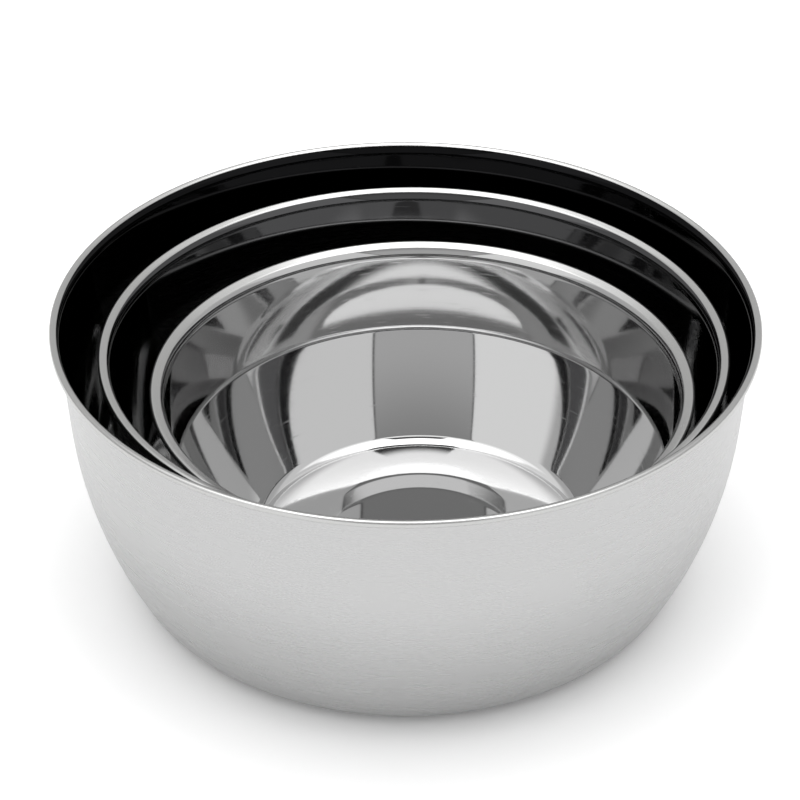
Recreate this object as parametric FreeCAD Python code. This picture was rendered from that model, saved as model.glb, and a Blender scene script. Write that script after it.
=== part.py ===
"""Nest of three round stainless steel bowls.

Each bowl is one blank of sheet steel, drawn deep, with a turned-down lip and a
shallow foot disc pressed out of its base.  The foot disc of each inner bowl stands
in the hollow of the foot disc below it, so the bowls lift straight out.

Units are millimetres.  +Z is up.  The origin is the centre of the large bowl's
foot, on the plane that it stands on.
"""

import FreeCAD, Part
import math
import os
from collections import namedtuple

Vector = FreeCAD.Vector

# ---------------------------------------------------------------- the sheet
SHEET = 0.6                  # thickness of the steel

# ---------------------------------------------------------------- the lip
LIP_NOSE_RADIUS = 0.8        # outside radius where the lip turns down
LIP_SKIRT = 0.6              # straight length of the turned-down edge
LIP_LAND_SLOPE = 20.0        # degrees that the land on top of the lip falls inward
LIP_CROWN_RADIUS = 1.1       # radius from the land into the flare
LIP_CROWN_SLOPE = 50.0       # degrees of slope where the crown meets the flare
LIP_FLARE_RADIUS = 4.5       # larger radius that eases the crown into the wall

# ---------------------------------------------------------------- the foot
FOOT_DROP = 0.7              # how far the foot disc stands below the base
FOOT_STEP_SLOPE = 7.0        # degrees of slope of the step round the disc
FOOT_STEP_BLEND = 12.0       # inside radius of the two bends of that step
FOOT_PLAY = 5.0              # foot hollow's radius less the radius of the foot in it

# ---------------------------------------------------------------- the bowls
MEDIUM_RIM_STEP = 9.4        # large bowl's rim radius less the medium bowl's
SMALL_RIM_STEP = 10.2        # medium bowl's rim radius less the small bowl's

BowlSize = namedtuple(
    "BowlSize",
    "rim_radius height wall_taper wall_length base_inset corner_radius lip_land knee_radius")

LARGE = BowlSize(
    rim_radius=90.0,         # to the outside of the lip
    height=76.2,             # foot to top of lip
    wall_taper=3.2,          # degrees that the upper wall leans outward
    wall_length=21.0,        # straight length of the upper wall
    base_inset=24.5,         # rim radius less the radius where the corner begins
    corner_radius=10.0,      # outside radius where the base turns up
    lip_land=0.33,           # width of the land on top of the lip
    knee_radius=None)        # a full belly, with no knee below the upper wall

MEDIUM = BowlSize(
    rim_radius=LARGE.rim_radius - MEDIUM_RIM_STEP,
    height=66.3,
    wall_taper=3.2,
    wall_length=17.0,
    base_inset=23.1,
    corner_radius=8.0,
    lip_land=0.95,
    knee_radius=None)

SMALL = BowlSize(
    rim_radius=MEDIUM.rim_radius - SMALL_RIM_STEP,
    height=54.0,
    wall_taper=3.5,
    wall_length=21.5,
    base_inset=27.0,
    corner_radius=5.7,
    lip_land=1.6,
    knee_radius=4.6)         # outside radius from the upper wall into the cone below it

SMALL_FOOT_RADIUS = 24.0     # flat of the small bowl's foot disc

# ---------------------------------------------------------------- the nest
MEDIUM_SHIFT = 2.1           # medium bowl off the large bowl's axis, towards +X
SMALL_SHIFT = 2.2            # small bowl off the medium bowl's axis, towards +X


class SheetProfile:
    """Half section of a sheet, drawn by walking along its outer (lower) face.

    Each step adds one edge to the outer face and the matching edge, one sheet
    thickness to the left of the walk, to the inner face.
    """

    def __init__(self, radius, height, thickness):
        self.place = Vector(radius, 0, height)
        self.heading = 0.0               # degrees above the outward radial line
        self.thickness = thickness
        self.outer = []
        self.inner = []

    def left(self, angle=None):
        """Unit vector to the left of the walk, which points into the bowl."""
        turned = math.radians(self.heading if angle is None else angle)
        return Vector(-math.sin(turned), 0, math.cos(turned))

    def straight(self, length):
        """Walk straight on."""
        turned = math.radians(self.heading)
        end = self.place + Vector(math.cos(turned), 0, math.sin(turned)) * length
        shift = self.left() * self.thickness
        self.outer.append(Part.makeLine(self.place, end))
        self.inner.append(Part.makeLine(self.place + shift, end + shift))
        self.place = end

    def bend(self, turn, inside_radius):
        """Walk round a bend: turn is in degrees, positive to the left.

        inside_radius is the radius of the face on the inside of the bend.
        """
        side = math.copysign(1.0, turn)
        outer_radius = inside_radius + (self.thickness if side > 0 else 0.0)
        inner_radius = outer_radius - side * self.thickness
        centre = self.place + self.left() * side * outer_radius
        stops = [self.heading, self.heading + turn / 2, self.heading + turn]
        for edges, radius in ((self.outer, outer_radius), (self.inner, inner_radius)):
            arc = [centre - self.left(stop) * side * radius for stop in stops]
            edges.append(Part.Arc(*arc).toShape())
        self.place = centre - self.left(stops[-1]) * side * outer_radius
        self.heading += turn

    def solid(self):
        """Close the section at the trimmed edge and turn it about the Z axis."""
        trimmed = Part.makeLine(self.place, self.place + self.left() * self.thickness)
        axis = Part.makeLine(self.inner[0].firstVertex().Point, self.outer[0].firstVertex().Point)
        section = Part.Wire(self.outer + [trimmed] + self.inner[::-1] + [axis])
        return Part.Face(section).revolve(Vector(0, 0, 0), Vector(0, 0, 1), 360)


def step_length():
    """Straight length of the foot's step between its two bends."""
    slope = math.radians(FOOT_STEP_SLOPE)
    rise_of_bends = (2 * FOOT_STEP_BLEND + SHEET) * (1 - math.cos(slope))
    return (FOOT_DROP - rise_of_bends) / math.sin(slope)


def arc_reach(radius, start, end):
    """How far out and up an arc goes as the walk turns right from one slope to another."""
    first = math.radians(start)
    last = math.radians(end)
    return radius * (math.sin(first) - math.sin(last)), radius * (math.cos(last) - math.cos(first))


def lip_reach(size):
    """How far the lip stands out from and above the top of the straight wall."""
    # All are taken on the inner face, whose radii are the larger ones here.
    flare_out, flare_up = arc_reach(LIP_FLARE_RADIUS, 90 - size.wall_taper, LIP_CROWN_SLOPE)
    crown_out, crown_up = arc_reach(LIP_CROWN_RADIUS, LIP_CROWN_SLOPE, LIP_LAND_SLOPE)
    land_slope = math.radians(LIP_LAND_SLOPE)
    land_out = size.lip_land * math.cos(land_slope)
    land_up = size.lip_land * math.sin(land_slope)
    nose_up = arc_reach(LIP_NOSE_RADIUS, LIP_LAND_SLOPE, 0)[1]
    nose_out = arc_reach(LIP_NOSE_RADIUS, LIP_LAND_SLOPE, -90)[0]
    return flare_out + crown_out + land_out + nose_out, flare_up + crown_up + land_up + nose_up


def base_radius(size):
    """Radius at which the flat base ends and the corner begins."""
    return size.rim_radius - size.base_inset


def corner_centre(size):
    """Centre of the arc that turns the base up, on the section plane."""
    return Vector(base_radius(size), 0, FOOT_DROP + size.corner_radius)


def into_bowl(size):
    """Unit vector square to the upper wall, towards the inside."""
    lean = math.radians(size.wall_taper)
    return Vector(-math.cos(lean), 0, math.sin(lean))


def belly(size, wall_foot):
    """Outside radius of a full belly and the slope at which it leaves the corner.

    The belly is one arc, tangent to the straight wall at wall_foot and to the corner.
    """
    inward = into_bowl(size)
    across = wall_foot - corner_centre(size)
    radius = ((size.corner_radius ** 2 - across.dot(across))
              / (2 * (across.dot(inward) + size.corner_radius)))
    line = corner_centre(size) - (wall_foot + inward * radius)
    slope = math.degrees(math.atan2(line.x, -line.z))
    return radius, slope


def cone(size, wall_foot):
    """Length and slope of the cone that is tangent to both the corner and the knee."""
    knee_centre = wall_foot + into_bowl(size) * size.knee_radius
    line = knee_centre - corner_centre(size)
    growth = size.knee_radius - size.corner_radius
    slope = math.degrees(math.atan2(line.z, line.x) - math.asin(growth / line.Length))
    length = math.sqrt(line.Length ** 2 - growth ** 2)
    return length, slope


def bowl(size, foot_radius):
    """One bowl standing on z = 0, centred on the Z axis."""
    lean = math.radians(size.wall_taper)
    reach_out, reach_up = lip_reach(size)
    wall_top_inner = Vector(size.rim_radius - reach_out, 0, size.height - reach_up)
    wall_top = wall_top_inner + Vector(math.cos(lean), 0, -math.sin(lean)) * SHEET
    wall_foot = wall_top - Vector(math.sin(lean), 0, math.cos(lean)) * size.wall_length

    sheet = SheetProfile(0, 0, SHEET)
    sheet.straight(foot_radius)
    sheet.bend(FOOT_STEP_SLOPE, FOOT_STEP_BLEND)
    sheet.straight(step_length())
    sheet.bend(-FOOT_STEP_SLOPE, FOOT_STEP_BLEND)
    sheet.straight(base_radius(size) - sheet.place.x)
    if size.knee_radius is None:
        radius, slope = belly(size, wall_foot)
        sheet.bend(slope, size.corner_radius - SHEET)
        sheet.bend(90 - size.wall_taper - slope, radius - SHEET)
    else:
        length, slope = cone(size, wall_foot)
        sheet.bend(slope, size.corner_radius - SHEET)
        sheet.straight(length)
        sheet.bend(90 - size.wall_taper - slope, size.knee_radius - SHEET)
    sheet.straight(size.wall_length)
    sheet.bend(size.wall_taper + LIP_CROWN_SLOPE - 90, LIP_FLARE_RADIUS - SHEET)
    sheet.bend(LIP_LAND_SLOPE - LIP_CROWN_SLOPE, LIP_CROWN_RADIUS - SHEET)
    sheet.straight(size.lip_land)
    sheet.bend(-90 - LIP_LAND_SLOPE, LIP_NOSE_RADIUS - SHEET)
    sheet.straight(LIP_SKIRT)
    return sheet.solid()


def placed(shape, shift, lift):
    """The shape moved towards +X by shift and up by lift."""
    moved = shape.copy()
    moved.translate(Vector(shift, 0, lift))
    return moved


def build():
    """The three bowls at rest in the nest, by name."""
    medium_foot = SMALL_FOOT_RADIUS + FOOT_PLAY
    large_foot = medium_foot + FOOT_PLAY
    medium_lift = SHEET
    small_lift = medium_lift + SHEET
    small_shift = MEDIUM_SHIFT + SMALL_SHIFT
    return {
        "large_bowl": bowl(LARGE, large_foot),
        "medium_bowl": placed(bowl(MEDIUM, medium_foot), MEDIUM_SHIFT, medium_lift),
        "small_bowl": placed(bowl(SMALL, SMALL_FOOT_RADIUS), small_shift, small_lift),
    }


os.makedirs("parts", exist_ok=True)
for name, shape in build().items():
    shape.exportStep("parts/" + name + ".step")
    box = shape.BoundBox
    print("%-12s valid %s  solids %d  volume %.1f  x %.2f..%.2f  z %.2f..%.2f" % (
        name, shape.isValid(), len(shape.Solids), shape.Volume,
        box.XMin, box.XMax, box.ZMin, box.ZMax))
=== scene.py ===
"""The looks of a nest of three round stainless steel bowls.

Each bowl is one drawn sheet: buffed to a mirror inside, brushed to a satin outside,
with a polished, turned-down lip.  Units are metres; sizes are given in millimetres.
"""
import math
from collections import namedtuple

import bmesh
import bpy
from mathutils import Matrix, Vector


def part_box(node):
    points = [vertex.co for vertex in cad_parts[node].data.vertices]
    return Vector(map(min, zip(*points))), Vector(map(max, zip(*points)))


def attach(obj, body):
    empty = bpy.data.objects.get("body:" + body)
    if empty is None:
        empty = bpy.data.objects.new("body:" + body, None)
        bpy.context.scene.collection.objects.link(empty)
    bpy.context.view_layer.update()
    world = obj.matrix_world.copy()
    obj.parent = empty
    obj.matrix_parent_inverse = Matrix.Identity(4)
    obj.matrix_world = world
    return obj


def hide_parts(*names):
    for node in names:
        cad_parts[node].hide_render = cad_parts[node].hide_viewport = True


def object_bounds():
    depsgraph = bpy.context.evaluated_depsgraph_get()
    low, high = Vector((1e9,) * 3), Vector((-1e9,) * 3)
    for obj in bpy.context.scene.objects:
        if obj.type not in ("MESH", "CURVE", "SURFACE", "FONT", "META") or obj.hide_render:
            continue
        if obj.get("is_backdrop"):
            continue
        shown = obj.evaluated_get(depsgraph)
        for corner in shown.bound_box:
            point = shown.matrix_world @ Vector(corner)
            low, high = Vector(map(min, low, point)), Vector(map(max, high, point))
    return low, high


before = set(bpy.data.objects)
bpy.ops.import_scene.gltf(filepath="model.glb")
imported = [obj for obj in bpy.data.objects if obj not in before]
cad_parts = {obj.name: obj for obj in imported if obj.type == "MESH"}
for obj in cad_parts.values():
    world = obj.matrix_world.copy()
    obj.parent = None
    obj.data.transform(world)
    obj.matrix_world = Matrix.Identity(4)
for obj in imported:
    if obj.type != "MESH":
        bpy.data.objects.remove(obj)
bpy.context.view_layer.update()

MM = 0.001
WEDGES = 24                      # equal wedges round each bowl
WEDGE_STEPS = 10                 # facets round each wedge
FOOT_BEND_STEPS = 6              # facets along each bend of a section, from the foot to the lip
CORNER_STEPS = 26
BELLY_STEPS = 40
LOW_BELLY_STEPS = 20
KNEE_STEPS = 16
FLARE_STEPS = 12
CROWN_STEPS = 8
NOSE_STEPS = 18

# ---------------------------------------------------------------- the sheet, lip and foot
SHEET = 0.6 * MM                 # thickness of the steel
NOSE_RADIUS = 0.8 * MM           # where the lip turns down
SKIRT = 0.6 * MM                 # the turned-down edge
LAND_SLOPE = 20.0                # degrees that the land on top of the lip falls inward
CROWN_RADIUS = 1.1 * MM          # from the land into the flare
CROWN_SLOPE = 50.0               # degrees of slope where the crown meets the flare
FLARE_RADIUS = 4.5 * MM          # eases the crown into the wall
FOOT_DROP = 0.7 * MM             # how far the foot disc stands below the base
STEP_SLOPE = 7.0                 # degrees of slope of the step round the disc
STEP_BLEND = 12.0 * MM           # inside radius of the step's two bends
SUPPORT = 0.3 * MM               # a loop this close to each end keeps a straight face flat
SEAT_GAP = 0.03 * MM             # a hair's breadth, so that stacked bowls share no face

LOW_BELLY_RADIUS = 125.0 * MM    # the gentle curve of a kneed bowl between its corner and its knee

# taper in degrees and the rest in millimetres.  inset is from the rim to where the corner
# begins, knee is the bend below the upper wall, or None for a full belly, land is the width of
# the lip's top and foot is the radius of the foot disc.
BowlForm = namedtuple("BowlForm", "taper wall inset corner knee land foot")
FORMS = {
    "large_bowl": BowlForm(taper=3.2, wall=21.0, inset=24.5, corner=10.0,
                           knee=None, land=0.33, foot=34.0),
    "medium_bowl": BowlForm(taper=3.2, wall=17.0, inset=23.1, corner=8.0,
                            knee=None, land=0.95, foot=29.0),
    "small_bowl": BowlForm(taper=3.5, wall=21.5, inset=27.0, corner=5.7,
                           knee=4.6, land=1.6, foot=24.0),
}
BUFFED, POLISHED, BRUSHED, TRIMMED = range(4)     # order of each bowl's finishes
STEEL = "#CBCBCB"                # bare stainless steel
# painted reflection: a darker base colour below each bowl's lip that stands for the dark room a larger bowl's
# inner wall mirrors; the small bowl's is bare steel
PAINTED_REFLECTION = {"large_bowl": "#1E1E1F", "medium_bowl": "#5C5C5D", "small_bowl": STEEL}
PAINTED_REFLECTION_DEPTH = 15.0 * MM      # how far below the lip the painted reflection is at its full depth
PAINTED_REFLECTION_FADE = 4.5 * MM        # how far it takes the painted reflection to fade into the steel below


# ---------------------------------------------------------------- the section of a bowl
class SkinWalk:
    """One skin of the sheet in section, drawn by walking out from the axis.

    lift is how far this skin lies to the left of the walk's guide line, which is
    the outside of the bowl: 0 for the outer skin, one sheet less a hair's breadth
    for the inner skin.
    """

    def __init__(self, mesh, lift, finish):
        self.mesh = mesh
        self.lift = lift
        self.finish = finish
        self.guide = Vector((0, 0, 0))
        self.heading = 0.0
        self.tip = mesh.verts.new(self.left() * lift)
        self.edges = {}

    def left(self):
        turned = math.radians(self.heading)
        return Vector((-math.sin(turned), 0, math.cos(turned)))

    def ahead(self):
        turned = math.radians(self.heading)
        return Vector((math.cos(turned), 0, math.sin(turned)))

    def straight(self, length):
        """Walk straight on, with a loop close to each end."""
        margin = min(SUPPORT, length * 0.2)
        for stretch in (margin, length - 2 * margin, margin):
            grown = bmesh.ops.extrude_vert_indiv(self.mesh, verts=[self.tip])
            self.tip = grown["verts"][0]
            self.edges.setdefault(self.finish, []).extend(grown["edges"])
            bmesh.ops.translate(self.mesh, verts=[self.tip], vec=self.ahead() * stretch)
        self.guide += self.ahead() * length

    def bend(self, turn, inside_radius, steps):
        """Walk round a bend: turn is in degrees, positive to the left."""
        side = math.copysign(1.0, turn)
        guide_radius = inside_radius + (SHEET if side > 0 else 0.0)
        centre = self.guide + self.left() * side * guide_radius
        before = set(self.mesh.edges)
        spun = bmesh.ops.spin(self.mesh, geom=[self.tip], cent=centre, axis=(0, -1, 0),
                              angle=math.radians(turn), steps=steps)
        self.tip = next(part for part in spun["geom_last"] if isinstance(part, bmesh.types.BMVert))
        self.edges.setdefault(self.finish, []).extend(set(self.mesh.edges) - before)
        self.heading += turn
        self.guide = centre - self.left() * side * guide_radius


def arc_reach(radius, start, end):
    """How far out and up an arc goes as the walk turns right from one slope to another."""
    first = math.radians(start)
    last = math.radians(end)
    return Vector((radius * (math.sin(first) - math.sin(last)), 0,
                   radius * (math.cos(last) - math.cos(first))))


def lip_reach(form):
    """How far the lip stands out from and above the top of the straight wall."""
    slope = math.radians(LAND_SLOPE)
    land = Vector((math.cos(slope), 0, math.sin(slope))) * form.land * MM
    nose = Vector((arc_reach(NOSE_RADIUS, LAND_SLOPE, -90).x, 0,
                   arc_reach(NOSE_RADIUS, LAND_SLOPE, 0).z))
    return (arc_reach(FLARE_RADIUS, 90 - form.taper, CROWN_SLOPE)
            + arc_reach(CROWN_RADIUS, CROWN_SLOPE, LAND_SLOPE) + land + nose)


def belly(form, inward, corner_centre, wall_foot):
    """Slope at which the corner ends, and outside radius of the belly above it."""
    corner = form.corner * MM
    across = wall_foot - corner_centre
    radius = (corner ** 2 - across.length_squared) / (2 * (across.dot(inward) + corner))
    line = corner_centre - (wall_foot + inward * radius)
    return math.degrees(math.atan2(line.x, -line.z)), radius


def low_belly(form, inward, corner_centre, wall_foot):
    """Slopes at which a gentle belly leaves the corner and meets the knee, tangent to both."""
    line = wall_foot + inward * form.knee * MM - corner_centre
    from_corner = LOW_BELLY_RADIUS - form.corner * MM
    from_knee = LOW_BELLY_RADIUS - form.knee * MM
    lean = math.atan2(line.z, line.x)
    at_corner = math.acos((from_corner ** 2 + line.length_squared - from_knee ** 2)
                          / (2 * from_corner * line.length))
    at_knee = math.acos((from_knee ** 2 + line.length_squared - from_corner ** 2)
                        / (2 * from_knee * line.length))
    return math.degrees(lean + at_corner) - 90, math.degrees(lean - at_knee) + 90


def draw_skin(mesh, lift, form, rim_radius, height, finish):
    """The whole skin in section, from the axis to the trimmed edge of the lip."""
    lean = math.radians(form.taper)
    inward = Vector((-math.cos(lean), 0, math.sin(lean)))
    wall_top = Vector((rim_radius, 0, height)) - lip_reach(form) - inward * SHEET
    wall_foot = wall_top - Vector((math.sin(lean), 0, math.cos(lean))) * form.wall * MM
    base = rim_radius - form.inset * MM
    corner_centre = Vector((base, 0, FOOT_DROP + form.corner * MM))
    step = math.radians(STEP_SLOPE)
    rise_of_bends = (2 * STEP_BLEND + SHEET) * (1 - math.cos(step))

    walk = SkinWalk(mesh, lift, finish)
    walk.straight(form.foot * MM)
    walk.bend(STEP_SLOPE, STEP_BLEND, FOOT_BEND_STEPS)
    walk.straight((FOOT_DROP - rise_of_bends) / math.sin(step))
    walk.bend(-STEP_SLOPE, STEP_BLEND, FOOT_BEND_STEPS)
    walk.straight(base - walk.guide.x)
    if form.knee is None:
        slope, radius = belly(form, inward, corner_centre, wall_foot)
        walk.bend(slope, form.corner * MM - SHEET, CORNER_STEPS)
        walk.bend(90 - form.taper - slope, radius - SHEET, BELLY_STEPS)
    else:
        slope, knee_slope = low_belly(form, inward, corner_centre, wall_foot)
        walk.bend(slope, form.corner * MM - SHEET, CORNER_STEPS)
        walk.bend(knee_slope - slope, LOW_BELLY_RADIUS - SHEET, LOW_BELLY_STEPS)
        walk.bend(90 - form.taper - knee_slope, form.knee * MM - SHEET, KNEE_STEPS)
    walk.straight(form.wall * MM)
    walk.bend(form.taper + CROWN_SLOPE - 90, FLARE_RADIUS - SHEET, FLARE_STEPS)
    walk.finish = POLISHED
    walk.bend(LAND_SLOPE - CROWN_SLOPE, CROWN_RADIUS - SHEET, CROWN_STEPS)
    walk.straight(form.land * MM)
    walk.bend(-90 - LAND_SLOPE, NOSE_RADIUS - SHEET, NOSE_STEPS)
    walk.straight(SKIRT)
    return walk


def wedge_of(mesh, edges, finish):
    """Spin section edges through one wedge and give the new faces a finish."""
    before = set(mesh.faces)
    corners = {vert for edge in edges for vert in edge.verts}
    bmesh.ops.spin(mesh, geom=edges + list(corners), cent=(0, 0, 0), axis=(0, 0, 1),
                   angle=math.tau / WEDGES, steps=WEDGE_STEPS)
    for face in set(mesh.faces) - before:
        face.material_index = finish


def spun_bowl(node):
    """A finely turned bowl that stands exactly where its solid does."""
    low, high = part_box(node)
    rim_radius = (high.y - low.y) / 2
    foot_centre = Vector(((low.x + high.x) / 2, (low.y + high.y) / 2, low.z))

    mesh = bmesh.new()
    outer = draw_skin(mesh, 0.0, FORMS[node], rim_radius, high.z - low.z, BRUSHED)
    inner = draw_skin(mesh, SHEET - SEAT_GAP, FORMS[node], rim_radius, high.z - low.z, BUFFED)
    trimmed = mesh.edges.new((outer.tip, inner.tip))
    for edges in (outer.edges, inner.edges, {TRIMMED: [trimmed]}):
        for finish, group in edges.items():
            wedge_of(mesh, group, finish)
    for face in mesh.faces:
        face.smooth = True
    wedge = list(mesh.faces)
    bmesh.ops.spin(mesh, geom=wedge + list(mesh.edges) + list(mesh.verts), cent=(0, 0, 0), axis=(0, 0, 1),
                   angle=math.tau * (WEDGES - 1) / WEDGES, steps=WEDGES - 1, use_duplicate=True)
    bmesh.ops.remove_doubles(mesh, verts=mesh.verts, dist=0.002 * MM)
    bmesh.ops.recalc_face_normals(mesh, faces=mesh.faces)
    bmesh.ops.translate(mesh, verts=mesh.verts, vec=foot_centre)

    data = bpy.data.meshes.new(node + "_steel")
    mesh.to_mesh(data)
    mesh.free()
    for finish in finishes_of(node, foot_centre):
        data.materials.append(finish)
    piece = bpy.data.objects.new(node + "_steel", data)
    bpy.context.scene.collection.objects.link(piece)
    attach(piece, node)
    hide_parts(node)


# ---------------------------------------------------------------- finishes
def linear(hex_colour):
    """An sRGB hex colour as linear red, green, blue and full alpha."""
    parts = [int(hex_colour[i:i + 2], 16) / 255 for i in (1, 3, 5)]
    return [c / 12.92 if c <= 0.04045 else ((c + 0.055) / 1.055) ** 2.4 for c in parts] + [1.0]


def add_node(tree, kind, settings=None, **inputs):
    """Add a node, set its properties and fill or link its inputs by name or by _number."""
    node = tree.nodes.new(kind)
    for name, value in (settings or {}).items():
        setattr(node, name, value)
    for name, value in inputs.items():
        socket = node.inputs[int(name[1:])] if name[1:].isdigit() else node.inputs[name.replace("_", " ")]
        if isinstance(value, bpy.types.NodeSocket):
            tree.links.new(value, socket)
        else:
            socket.default_value = value
    return node


def new_steel(name, colour):
    """A bare metal material: its tree and its shader."""
    material = bpy.data.materials.new(name)
    material.use_nodes = True
    shader = material.node_tree.nodes["Principled BSDF"]
    shader.inputs["Base Color"].default_value = linear(colour)
    shader.inputs["Metallic"].default_value = 1.0
    return material, material.node_tree, shader


def turned_place(tree, centre):
    """Where a point is on a turned bowl: its place, its direction from the axis and its radius."""
    place = add_node(tree, "ShaderNodeTexCoord").outputs["Object"]
    place = add_node(tree, "ShaderNodeMapping", Vector=place, Location=-centre).outputs[0]
    flat = add_node(tree, "ShaderNodeVectorMath", {"operation": "MULTIPLY"},
                    _0=place, _1=(1, 1, 0)).outputs[0]
    way = add_node(tree, "ShaderNodeVectorMath", {"operation": "NORMALIZE"}, _0=flat).outputs[0]
    radius = add_node(tree, "ShaderNodeVectorMath", {"operation": "LENGTH"}, _0=flat).outputs["Value"]
    return place, way, radius


def ring_lines(tree, turned, spacing, arcs, detail=2.0):
    """Lines that run round the bowl: spacing in metres across them, arcs is how many to a turn."""
    place, way, radius = turned
    upright = add_node(tree, "ShaderNodeVectorMath", {"operation": "MULTIPLY"},
                       _0=place, _1=(0, 0, 1 / spacing)).outputs[0]
    around = add_node(tree, "ShaderNodeVectorMath", {"operation": "SCALE"},
                      _0=way, Scale=arcs / math.tau).outputs[0]
    where = add_node(tree, "ShaderNodeVectorMath", {"operation": "ADD"}, _0=upright, _1=around).outputs[0]
    across = add_node(tree, "ShaderNodeMath", {"operation": "MULTIPLY"}, _0=radius, _1=1 / spacing).outputs[0]
    lines = add_node(tree, "ShaderNodeTexNoise", {"noise_dimensions": "4D"},
                     Vector=where, W=across, Scale=1.0, Detail=detail, Roughness=0.6)
    return lines.outputs[0]


def buffed_inside(node, centre):
    """Drawn stainless steel buffed to a mirror with a wheel that ran round the bowl.

    The eye sees sharp reflections, drawn out a little across faint rings, and a few hairlines.
    A darker colour painted below the lip of a larger bowl is a painted reflection of the dark room that its
    wall mirrors:
    it isn't a colour of the steel itself, and it stays dark in any light.
    """
    material, tree, shader = new_steel(node + "_buffed_inside", STEEL)
    turned = turned_place(tree, centre)
    wheel = ring_lines(tree, turned, 0.5 * MM, 5)
    hairs = ring_lines(tree, turned, 0.35 * MM, 60, detail=0.0)
    hairs = add_node(tree, "ShaderNodeMapRange", Value=hairs, From_Min=0.72, From_Max=0.80).outputs[0]
    rough = add_node(tree, "ShaderNodeMapRange", Value=wheel, From_Min=0.3, From_Max=0.7,
                     To_Min=0.035, To_Max=0.065).outputs[0]
    rough = add_node(tree, "ShaderNodeMath", {"operation": "MULTIPLY_ADD"},
                     _0=hairs, _1=0.07, _2=rough).outputs[0]
    tree.links.new(rough, shader.inputs["Roughness"])
    # painted reflection: the base colour darkens towards the lip and stands for the dark room that the wall
    # mirrors
    low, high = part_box(node)
    reflection_foot = high.z - low.z - PAINTED_REFLECTION_DEPTH
    height = add_node(tree, "ShaderNodeSeparateXYZ", Vector=turned[0]).outputs["Z"]
    painted_reflection_mask = add_node(tree, "ShaderNodeMapRange", {"interpolation_type": "SMOOTHSTEP"},
                        Value=height, From_Min=reflection_foot - PAINTED_REFLECTION_FADE, From_Max=reflection_foot)
    painted_reflection_colour = add_node(tree, "ShaderNodeMix", {"data_type": "RGBA"}, Factor=painted_reflection_mask.outputs[0],
                    _6=linear(STEEL), _7=linear(PAINTED_REFLECTION[node])).outputs[2]
    tree.links.new(painted_reflection_colour, shader.inputs["Base Color"])
    relief = add_node(tree, "ShaderNodeBump", Strength=1.0, Distance=0.0006 * MM, Height=wheel).outputs[0]
    relief = add_node(tree, "ShaderNodeBump", {"invert": True}, Strength=1.0, Distance=0.0007 * MM,
                      Height=hairs, Normal=relief).outputs[0]
    tree.links.new(relief, shader.inputs["Normal"])
    return material


def polished_lip(node, centre):
    """The turned-down lip, dressed with a finer belt than the wall but not to a mirror.

    The eye sees soft bands of light that follow the roll of the lip, with small rubs all along.
    """
    material, tree, shader = new_steel(node + "_polished_lip", "#CDCDCC")
    turned = turned_place(tree, centre)
    belt = ring_lines(tree, turned, 0.25 * MM, 14)
    rubs = add_node(tree, "ShaderNodeTexNoise", Vector=turned[0], Scale=1 / (4 * MM), Detail=3.0).outputs[0]
    rough = add_node(tree, "ShaderNodeMath", {"operation": "MULTIPLY_ADD"},
                     _0=rubs, _1=0.10, _2=0.15).outputs[0]
    rough = add_node(tree, "ShaderNodeMath", {"operation": "MULTIPLY_ADD"},
                     _0=belt, _1=0.08, _2=rough).outputs[0]
    tree.links.new(rough, shader.inputs["Roughness"])
    relief = add_node(tree, "ShaderNodeBump", Strength=1.0, Distance=0.0008 * MM, Height=belt).outputs[0]
    tree.links.new(relief, shader.inputs["Normal"])
    return material


def brushed_outside(node, centre):
    """Drawn stainless steel brushed round the outside with a fine abrasive belt.

    The eye sees a soft satin with fine rings, a little duller in broad, faint patches.
    """
    material, tree, shader = new_steel(node + "_brushed_outside", STEEL)
    turned = turned_place(tree, centre)
    grain = ring_lines(tree, turned, 0.30 * MM, 26)       # drawn coarser than the real grain so that it shows
    cloud = add_node(tree, "ShaderNodeTexNoise", Vector=turned[0], Scale=1 / (18 * MM), Detail=2.0).outputs[0]
    rough = add_node(tree, "ShaderNodeMath", {"operation": "MULTIPLY_ADD"},
                     _0=grain, _1=0.12, _2=0.17).outputs[0]
    rough = add_node(tree, "ShaderNodeMath", {"operation": "MULTIPLY_ADD"},
                     _0=cloud, _1=0.08, _2=rough).outputs[0]
    tree.links.new(rough, shader.inputs["Roughness"])
    relief = add_node(tree, "ShaderNodeBump", Strength=1.0, Distance=0.0018 * MM, Height=grain).outputs[0]
    tree.links.new(relief, shader.inputs["Normal"])
    return material


def trimmed_edge(node, centre):
    """The sheared edge of the sheet under the lip: a dull, slightly torn grey line."""
    material, tree, shader = new_steel(node + "_trimmed_edge", "#B4B4B2")
    tear = ring_lines(tree, turned_place(tree, centre), 0.2 * MM, 400)
    rough = add_node(tree, "ShaderNodeMath", {"operation": "MULTIPLY_ADD"},
                     _0=tear, _1=0.2, _2=0.3).outputs[0]
    tree.links.new(rough, shader.inputs["Roughness"])
    relief = add_node(tree, "ShaderNodeBump", Strength=1.0, Distance=0.01 * MM, Height=tear).outputs[0]
    tree.links.new(relief, shader.inputs["Normal"])
    return material


def finishes_of(node, centre):
    """The finishes of one bowl, in the order of their numbers above."""
    return [make(node, centre) for make in (buffed_inside, polished_lip, brushed_outside, trimmed_edge)]


# ---------------------------------------------------------------- floor, light and camera
FLOOR_GREY = 0.8                 # the table's own grey, which lights the bowls
FLOOR_SEEN = 1.16                # the table as the eye sees it
FLOOR_MIRRORED = 0.92            # and as the steel sees it


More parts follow.
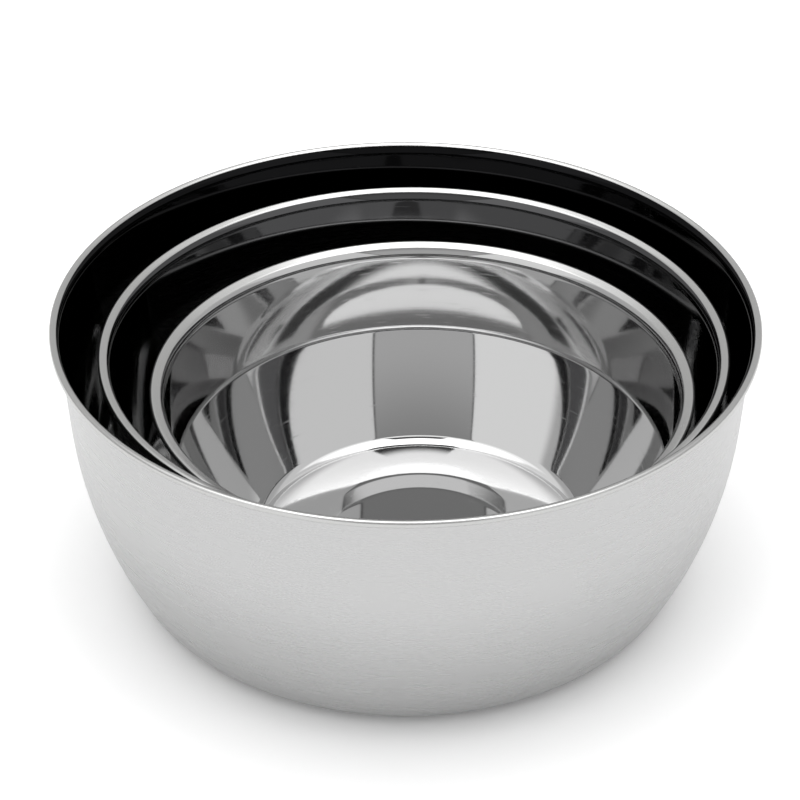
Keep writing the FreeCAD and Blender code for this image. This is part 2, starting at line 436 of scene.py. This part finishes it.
def pale_floor():
    """A plain white table that keeps the bowls' shadow."""
    mesh = bmesh.new()
    bmesh.ops.create_grid(mesh, x_segments=1, y_segments=1, size=6.0)
    data = bpy.data.meshes.new("floor")
    mesh.to_mesh(data)
    mesh.free()
    floor = bpy.data.objects.new("floor", data)
    bpy.context.scene.collection.objects.link(floor)
    material = bpy.data.materials.new("matt_white_table")
    material.use_nodes = True
    tree = material.node_tree
    tree.nodes.remove(tree.nodes["Principled BSDF"])
    path = add_node(tree, "ShaderNodeLightPath")
    seen = add_node(tree, "ShaderNodeMath", {"operation": "MAXIMUM"}, _0=path.outputs["Is Camera Ray"],
                    _1=path.outputs["Is Glossy Ray"])
    seen = add_node(tree, "ShaderNodeMath", {"operation": "MAXIMUM"}, _0=seen.outputs[0],
                    _1=path.outputs["Is Transmission Ray"])
    grey = add_node(tree, "ShaderNodeMath", {"operation": "MULTIPLY_ADD"}, _0=seen.outputs[0],
                    _1=FLOOR_MIRRORED - FLOOR_GREY, _2=FLOOR_GREY)
    grey = add_node(tree, "ShaderNodeMath", {"operation": "MULTIPLY_ADD"}, _0=path.outputs["Is Camera Ray"],
                    _1=FLOOR_SEEN - FLOOR_MIRRORED, _2=grey.outputs[0])
    plain = add_node(tree, "ShaderNodeBsdfDiffuse", Color=grey.outputs[0])
    tree.links.new(plain.outputs[0], tree.nodes["Material Output"].inputs["Surface"])
    data.materials.append(material)
    floor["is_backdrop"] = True


LEAN = 49.5                      # degrees that the front panels lean towards the bowls

# The light round the bowls, painted one over another.  A part has a strength and the
# edges that it begins at: (which way it is measured, degrees, softness in degrees).
LightPart = namedtuple("LightPart", "strength edges")
WALL_BETWEEN = (("left", -14.2, 0.3), ("right", -16.0, 0.3))
FRONT_LAMP = (("bearing", -24.0, 1.0), ("back_bearing", -33.0, 1.0))
STUDIO = (
    LightPart(0.58, ()),                                              # grey room
    LightPart(0.95, (("round", 120.0, 8.0), ("up", 47.0, 4.0))),      # pale ceiling at the far side
    LightPart(0.86, (("right", 14.2, 0.5), ("left", -52.0, 3.0))),    # right panel
    LightPart(1.03, (("left", 16.1, 0.5), ("right", -50.0, 3.0))),    # left panel
    LightPart(0.15, (("right", 13.9, 0.25), ("left", -14.9, 0.25))),  # thin frame of the right panel
    LightPart(0.15, (("left", 15.7, 0.25), ("right", -16.6, 0.25))),  # thin frame of the left panel
    LightPart(0.56, WALL_BETWEEN),                                    # grey wall between
    LightPart(0.33, WALL_BETWEEN + (("up", 40.0, 14.0),)),            # its upper part
    LightPart(1.50, (("back_round", -125.0, 8.0), ("up", 54.0, 3.0))),    # lamps above the panels
    LightPart(2.80, (("up", 63.0, 4.0),)),                            # overhead softbox
    LightPart(1.40, FRONT_LAMP + (("up", 53.0, 1.5), ("down", -70.0, 4.0))),   # lamp above the front panels
    LightPart(0.12, FRONT_LAMP + (("up", 60.0, 1.0), ("down", -73.0, 4.0))),   # dark gap above that lamp
)


def studio_light():
    """Soft light from all round: pale panels, a grey wall, and a bright softbox overhead."""
    world = bpy.data.worlds.new("soft_studio")
    bpy.context.scene.world = world
    world.use_nodes = True
    tree = world.node_tree
    way = add_node(tree, "ShaderNodeTexCoord").outputs["Generated"]
    split = add_node(tree, "ShaderNodeSeparateXYZ", Vector=way)
    across, forward, height = split.outputs
    back = add_node(tree, "ShaderNodeMath", {"operation": "MULTIPLY"}, _0=forward, _1=-1.0).outputs[0]
    leaned = add_node(tree, "ShaderNodeMath", {"operation": "MULTIPLY_ADD"}, _0=height,
                      _1=math.tan(math.radians(LEAN)), _2=back).outputs[0]
    radians = {
        "right": add_node(tree, "ShaderNodeMath", {"operation": "ARCTAN2"}, _0=across, _1=leaned).outputs[0],
        "bearing": add_node(tree, "ShaderNodeMath", {"operation": "ARCTAN2"}, _0=across, _1=back).outputs[0],
        "up": add_node(tree, "ShaderNodeMath", {"operation": "ARCSINE"}, _0=height).outputs[0],
    }
    measured = {name: add_node(tree, "ShaderNodeMath", {"operation": "DEGREES"}, _0=value).outputs[0]
                for name, value in radians.items()}
    for name, source, operation, factor in (("left", "right", "MULTIPLY", -1.0),
                                            ("back_bearing", "bearing", "MULTIPLY", -1.0),
                                            ("down", "up", "MULTIPLY", -1.0),
                                            ("round", "bearing", "ABSOLUTE", 0.0),
                                            ("back_round", "round", "MULTIPLY", -1.0)):
        measured[name] = add_node(tree, "ShaderNodeMath", {"operation": operation},
                                  _0=measured[source], _1=factor).outputs[0]
    level = 0.0
    for part in STUDIO:
        covered = 1.0
        for measure, at, softness in part.edges:
            edge = add_node(tree, "ShaderNodeMapRange", {"interpolation_type": "SMOOTHSTEP"},
                            Value=measured[measure],
                            From_Min=at - softness, From_Max=at + softness).outputs[0]
            covered = add_node(tree, "ShaderNodeMath", {"operation": "MULTIPLY"},
                               _0=edge, _1=covered).outputs[0]
        level = add_node(tree, "ShaderNodeMix", {"data_type": "FLOAT"}, Factor=covered,
                         _2=level, _3=part.strength).outputs[0]
    background = tree.nodes["Background"]
    background.inputs["Color"].default_value = (1, 1, 1, 1)
    tree.links.new(level, background.inputs["Strength"])


CAMERA_ELEVATION = 34.21         # degrees that the camera looks down
CAMERA_DISTANCE = 7.0            # from what it aims at, in rim radii
CAMERA_AIM_ACROSS = -0.0158      # its aim from the axis, in rim radii
CAMERA_AIM_DROP = 0.310          # and below the top of the nest
CAMERA_FOCAL_RATIO = 3.025       # focal length over the sensor's width


def front_camera():
    """A camera in front of the nest, above it and looking down into it."""
    low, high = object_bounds()
    rim = (high.y - low.y) / 2
    elevation = math.radians(CAMERA_ELEVATION)
    distance = CAMERA_DISTANCE * rim
    aim = Vector((CAMERA_AIM_ACROSS * rim, 0, high.z - CAMERA_AIM_DROP * rim))
    data = bpy.data.cameras.new("camera")
    data.sensor_width = 36.0
    data.lens = data.sensor_width * CAMERA_FOCAL_RATIO
    camera = bpy.data.objects.new("camera", data)
    camera.location = aim + Vector((0, -math.cos(elevation), math.sin(elevation))) * distance
    camera.rotation_euler = (math.pi / 2 - elevation, 0, 0)
    bpy.context.scene.collection.objects.link(camera)
    bpy.context.scene.camera = camera


for bowl_node in FORMS:
    spun_bowl(bowl_node)
pale_floor()
studio_light()
front_camera()
bpy.context.scene.view_settings.view_transform = "Standard"
